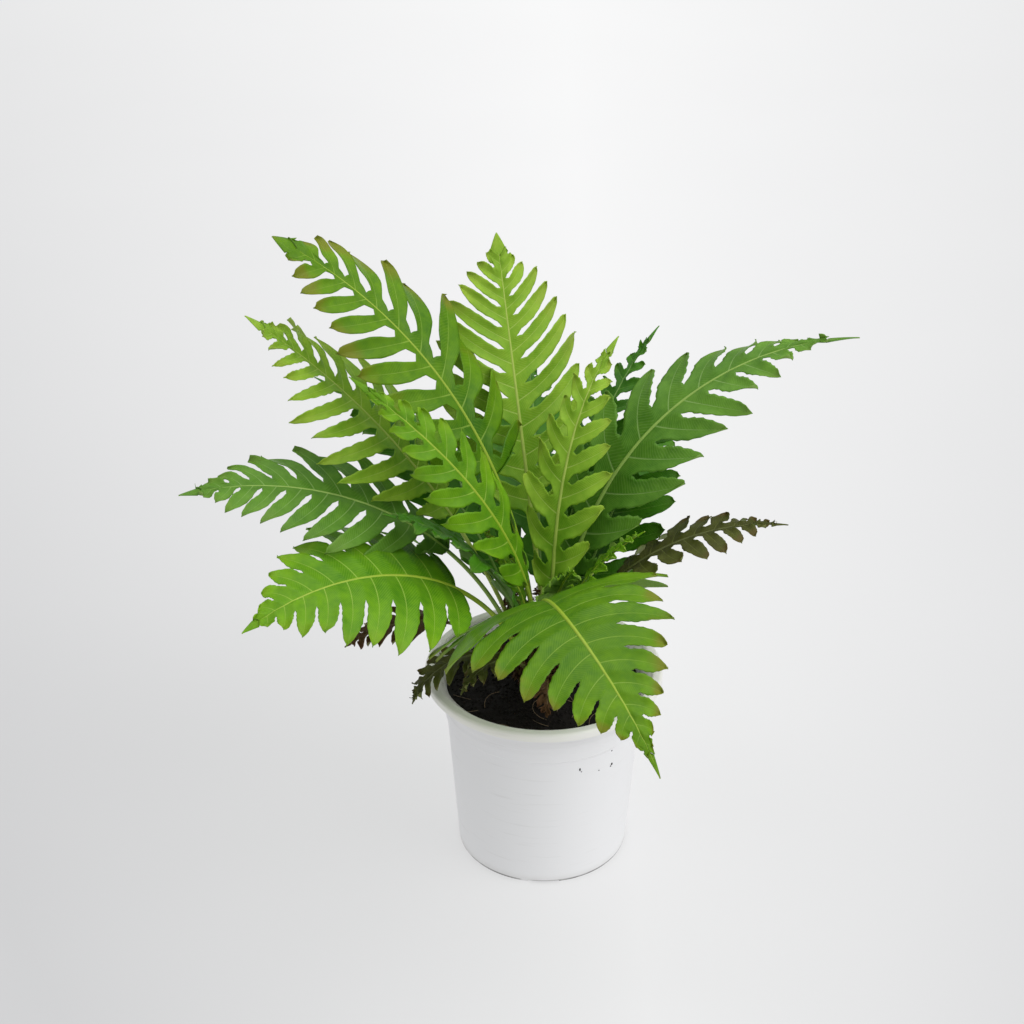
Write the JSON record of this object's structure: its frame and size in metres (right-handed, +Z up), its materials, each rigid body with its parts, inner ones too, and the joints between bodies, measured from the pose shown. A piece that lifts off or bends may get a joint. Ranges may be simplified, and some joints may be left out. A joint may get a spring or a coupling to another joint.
{
  "type": "potted fern",
  "caption": "Leafy fern with long, deeply cut arching fronds, growing from a scaly crown in a plain round white nursery pot.",
  "frame": {"origin": "middle of the pot's flat underside, on the pot's axis", "axes": "+Z up along the pot's axis, -Y towards the front, where the broadest frond hangs over the rim, +X to the right seen from the front"},
  "size_m": [0.3967, 0.4008, 0.4127],
  "materials": {
    "pot_plastic": "satin",
    "potting_mix": "matte",
    "crown_scales": "matte",
    "frond_fresh": "satin",
    "frond_green": "satin",
    "frond_bluish": "satin",
    "frond_dark": "satin",
    "frond_olive": "matte",
    "frond_brown": "matte"
  },
  "bodies": {
    "root": {"pot": "pot_plastic", "potting_mix": "potting_mix", "crown": "crown_scales", "frond_high_left": "frond_green", "frond_inner_left": "frond_fresh", "frond_mid_left": "frond_green", "frond_low_left": "frond_dark", "frond_front_left": "frond_fresh", "frond_front": "frond_green", "frond_top": "frond_fresh", "frond_inner_right": "frond_fresh", "frond_back_right": "frond_dark", "frond_high_right": "frond_bluish", "frond_mid_right": "frond_dark", "frond_low_right": "frond_olive", "frond_back_left": "frond_dark", "frond_low_inner": "frond_dark", "frond_rear": "frond_dark", "frond_rear_right": "frond_dark", "frond_rear_left": "frond_dark", "young_frond_front": "frond_fresh", "young_frond_right": "frond_fresh", "young_frond_left": "frond_green", "old_frond_hanging": "frond_olive", "old_frond_inner": "frond_olive", "old_frond_left": "frond_brown", "old_frond_front": "frond_brown"}
  },
  "joints": []
}
